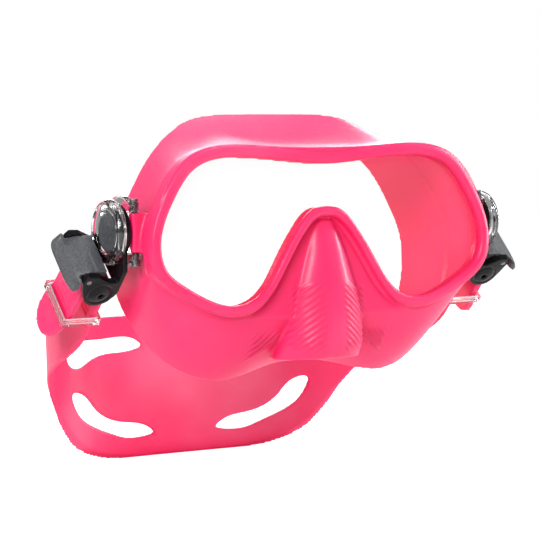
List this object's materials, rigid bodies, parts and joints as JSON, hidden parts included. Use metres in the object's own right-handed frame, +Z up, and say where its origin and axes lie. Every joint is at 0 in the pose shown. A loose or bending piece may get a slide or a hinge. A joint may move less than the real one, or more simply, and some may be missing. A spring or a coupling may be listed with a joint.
{
  "type": "diving mask",
  "caption": "Frameless one-window diving mask with a soft skirt and nose pocket, swivel buckles with release levers, and a split silicone head strap.",
  "frame": {"origin": "under the middle of the whole mask, level with the strap's lower edge", "axes": "the lens faces -Y, +X is the wearer's left, +Z is up"},
  "size_m": [0.21, 0.1286, 0.1445],
  "materials": {
    "silicone": "translucent pink silicone, satin",
    "clear_silicone": "clear silicone, finely ribbed",
    "glass": "clear toughened glass, polished",
    "clear_plastic": "clear polycarbonate, polished",
    "black_plastic": "black moulded plastic, polished",
    "grey_plastic": "dark grey moulded plastic, finely textured",
    "pin_steel": "dark stainless steel pin"
  },
  "bodies": {
    "mask": {"skirt": "silicone", "lens": "glass"},
    "strap_band": {"strap": "silicone"},
    "swivel_left": {"bracket_left": "clear_plastic", "hinge_pin_left": "pin_steel", "retaining_ring_left": "clear_plastic", "swivel_cap_left": "grey_plastic"},
    "buckle_left": {"buckle_frame_left": "black_plastic", "lever_pin_left": "pin_steel"},
    "lever_left": {"release_lever_left": "grey_plastic"},
    "roller_left": {"strap_roller_left": "black_plastic"},
    "keeper_left": {"strap_keeper_left": "clear_silicone"},
    "swivel_right": {"bracket_right": "clear_plastic", "hinge_pin_right": "pin_steel", "retaining_ring_right": "clear_plastic", "swivel_cap_right": "grey_plastic"},
    "buckle_right": {"buckle_frame_right": "black_plastic", "lever_pin_right": "pin_steel"},
    "lever_right": {"release_lever_right": "grey_plastic"},
    "roller_right": {"strap_roller_right": "black_plastic"},
    "keeper_right": {"strap_keeper_right": "clear_silicone"}
  },
  "joints": [
    {"name": "strap_swing", "type": "hinge", "parent": "mask", "child": "strap_band", "pos_m": [0, -0.0412, 0.0985], "axis": [1, 0, 0], "range_deg": [-30, 100]},
    {"name": "bracket_fold_left", "type": "hinge", "parent": "mask", "child": "swivel_left", "pos_m": [0.0799, -0.0498, 0.098], "axis": [0, 0, 1], "range_deg": [0, 6], "deforming": ["strap"]},
    {"name": "buckle_swivel_left", "type": "hinge", "parent": "swivel_left", "child": "buckle_left", "pos_m": [0.084, -0.0412, 0.0985], "axis": [1, 0, 0], "range_deg": [-30, 100]},
    {"name": "lever_press_left", "type": "hinge", "parent": "buckle_left", "child": "lever_left", "pos_m": [0.0965, -0.03574, 0.08887], "axis": [0, 0.6691, 0.7431], "range_deg": [0, 14], "stiffness_Nm_per_rad": 0.06},
    {"name": "roller_turn_left", "type": "hinge", "parent": "buckle_left", "child": "roller_left", "pos_m": [0.0897, -0.03054, 0.08419], "axis": [0, 0.6691, 0.7431], "continuous": true},
    {"name": "keeper_slide_left", "type": "slide", "parent": "buckle_left", "child": "keeper_left", "axis": [0, 0.7431, -0.6691], "range_m": [-0.006, 0.003]},
    {"name": "bracket_fold_right", "type": "hinge", "parent": "mask", "child": "swivel_right", "pos_m": [-0.0799, -0.0498, 0.098], "axis": [0, 0, 1], "range_deg": [-6, 0]},
    {"name": "buckle_swivel_right", "type": "hinge", "parent": "swivel_right", "child": "buckle_right", "pos_m": [-0.084, -0.0412, 0.0985], "axis": [1, 0, 0], "range_deg": [-30, 100]},
    {"name": "lever_press_right", "type": "hinge", "parent": "buckle_right", "child": "lever_right", "pos_m": [-0.0965, -0.03574, 0.08887], "axis": [0, -0.6691, -0.7431], "range_deg": [0, 14], "stiffness_Nm_per_rad": 0.06},
    {"name": "roller_turn_right", "type": "hinge", "parent": "buckle_right", "child": "roller_right", "pos_m": [-0.0897, -0.03054, 0.08419], "axis": [0, -0.6691, -0.7431], "continuous": true},
    {"name": "keeper_slide_right", "type": "slide", "parent": "buckle_right", "child": "keeper_right", "axis": [0, 0.7431, -0.6691], "range_m": [-0.006, 0.003]}
  ],
  "couplings": [
    {"joint": "buckle_swivel_left", "follows": "strap_swing", "ratio": 1},
    {"joint": "buckle_swivel_right", "follows": "strap_swing", "ratio": 1},
    {"joint": "bracket_fold_right", "follows": "bracket_fold_left", "ratio": -1}
  ]
}
